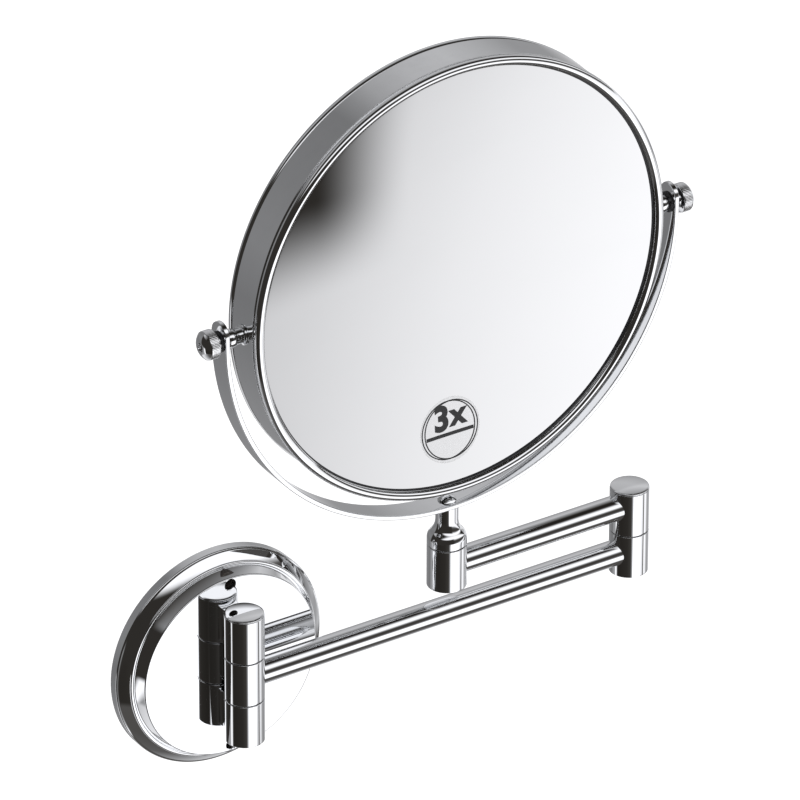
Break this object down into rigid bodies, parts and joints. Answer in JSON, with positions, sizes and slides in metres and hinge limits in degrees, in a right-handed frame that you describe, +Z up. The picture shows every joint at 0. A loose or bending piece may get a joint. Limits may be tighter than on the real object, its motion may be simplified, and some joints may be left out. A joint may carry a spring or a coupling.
{
  "type": "extendable wall shaving mirror",
  "caption": "Round two-sided magnifying mirror in a half-ring yoke, on a double folding arm with a round screw-on wall plate, polished chrome.",
  "frame": {"origin": "centre of the wall plate's back face, midway between the two wall screw holes", "axes": "+Z up, +Y into the wall, +X along the folded arms, away from the wall plate; the mirror faces -Y"},
  "size_m": [0.2863, 0.0387, 0.3311],
  "materials": {
    "polished_chrome": "mirror-polished chrome plate on zinc casting",
    "arm_chrome": "polished chrome plate on drawn steel tube",
    "yoke_chrome": "polished chrome plate on steel strip",
    "casing_chrome": "polished chrome plate on rolled steel sheet",
    "bezel_chrome": "polished chrome plate on spun brass ring",
    "knob_chrome": "knurled and chrome-plated turned brass",
    "zinc_steel": "bright zinc-plated steel",
    "spring_steel": "hardened spring steel, light oil",
    "black_nylon": "satin black nylon",
    "bush_acetal": "natural white acetal",
    "moulded_core": "fine-textured moulded polymer",
    "pressed_board": "pressed fibre board",
    "insert_brass": "turned brass",
    "magnifying_silver": "silvered concave glass",
    "plain_silver": "silvered flat glass",
    "clear_label": "clear film with a printed ring and numeral"
  },
  "bodies": {
    "wall_mount": {"wall_plate": "polished_chrome", "wall_post_top": "polished_chrome", "wall_post_bottom": "polished_chrome", "post_fixing_screws": "zinc_steel", "wall_hinge_bolt": "zinc_steel", "wall_friction_washers": "black_nylon", "wall_spring_washer": "spring_steel", "wall_hinge_nut": "zinc_steel", "wall_post_cap": "polished_chrome", "wall_post_plug": "polished_chrome"},
    "lower_arm": {"wall_hub": "polished_chrome", "wall_hub_bush": "bush_acetal", "lower_arm_tube": "arm_chrome", "elbow_lower_hub": "polished_chrome", "elbow_bolt": "zinc_steel", "elbow_friction_washer": "black_nylon", "elbow_plug": "polished_chrome", "elbow_spring_washer": "spring_steel", "elbow_nut": "zinc_steel"},
    "upper_arm": {"elbow_upper_hub": "polished_chrome", "elbow_bush": "bush_acetal", "elbow_cap": "polished_chrome", "upper_arm_tube": "arm_chrome", "swivel_hub": "polished_chrome", "swivel_bush": "bush_acetal", "swivel_plug": "polished_chrome"},
    "yoke_assembly": {"swivel_neck": "polished_chrome", "swivel_stud": "zinc_steel", "swivel_spring_washer": "spring_steel", "swivel_nut": "zinc_steel", "swivel_friction_washer": "black_nylon", "yoke": "yoke_chrome", "yoke_screw": "polished_chrome", "outer_washer_left": "black_nylon", "outer_washer_right": "black_nylon", "inner_washer_left": "black_nylon", "inner_washer_right": "black_nylon"},
    "mirror": {"casing": "casing_chrome", "front_bezel": "bezel_chrome", "rear_bezel": "bezel_chrome", "core_frame": "moulded_core", "magnifying_glass": "magnifying_silver", "plain_glass": "plain_silver", "backing_board": "pressed_board", "magnification_label": "clear_label", "pivot_spacer_left": "polished_chrome", "pivot_spacer_right": "polished_chrome", "pivot_insert_left": "insert_brass", "pivot_insert_right": "insert_brass"},
    "left_knob": {"knob_left": "knob_chrome", "knob_stud_left": "zinc_steel"},
    "right_knob": {"knob_right": "knob_chrome", "knob_stud_right": "zinc_steel"}
  },
  "joints": [
    {"name": "wall_swing", "type": "hinge", "parent": "wall_mount", "child": "lower_arm", "pos_m": [0, -0.0262, 0], "axis": [0, 0, -1], "range_deg": [0, 180]},
    {"name": "elbow_fold", "type": "hinge", "parent": "lower_arm", "child": "upper_arm", "pos_m": [0.204, -0.0262, 0.0214], "axis": [0, 0, 1], "range_deg": [-180, 180]},
    {"name": "mirror_swivel", "type": "hinge", "parent": "upper_arm", "child": "yoke_assembly", "pos_m": [0.106, -0.0262, 0.0342], "axis": [0, 0, 1], "continuous": true},
    {"name": "mirror_tilt", "type": "hinge", "parent": "yoke_assembly", "child": "mirror", "pos_m": [0.106, -0.0262, 0.172], "axis": [1, 0, 0], "continuous": true},
    {"name": "left_knob_turn", "type": "hinge", "parent": "mirror", "child": "left_knob", "pos_m": [-0.0176, -0.0262, 0.172], "axis": [-1, 0, 0], "range_deg": [0, 180]},
    {"name": "right_knob_turn", "type": "hinge", "parent": "mirror", "child": "right_knob", "pos_m": [0.2296, -0.0262, 0.172], "axis": [1, 0, 0], "range_deg": [0, 180]}
  ]
}
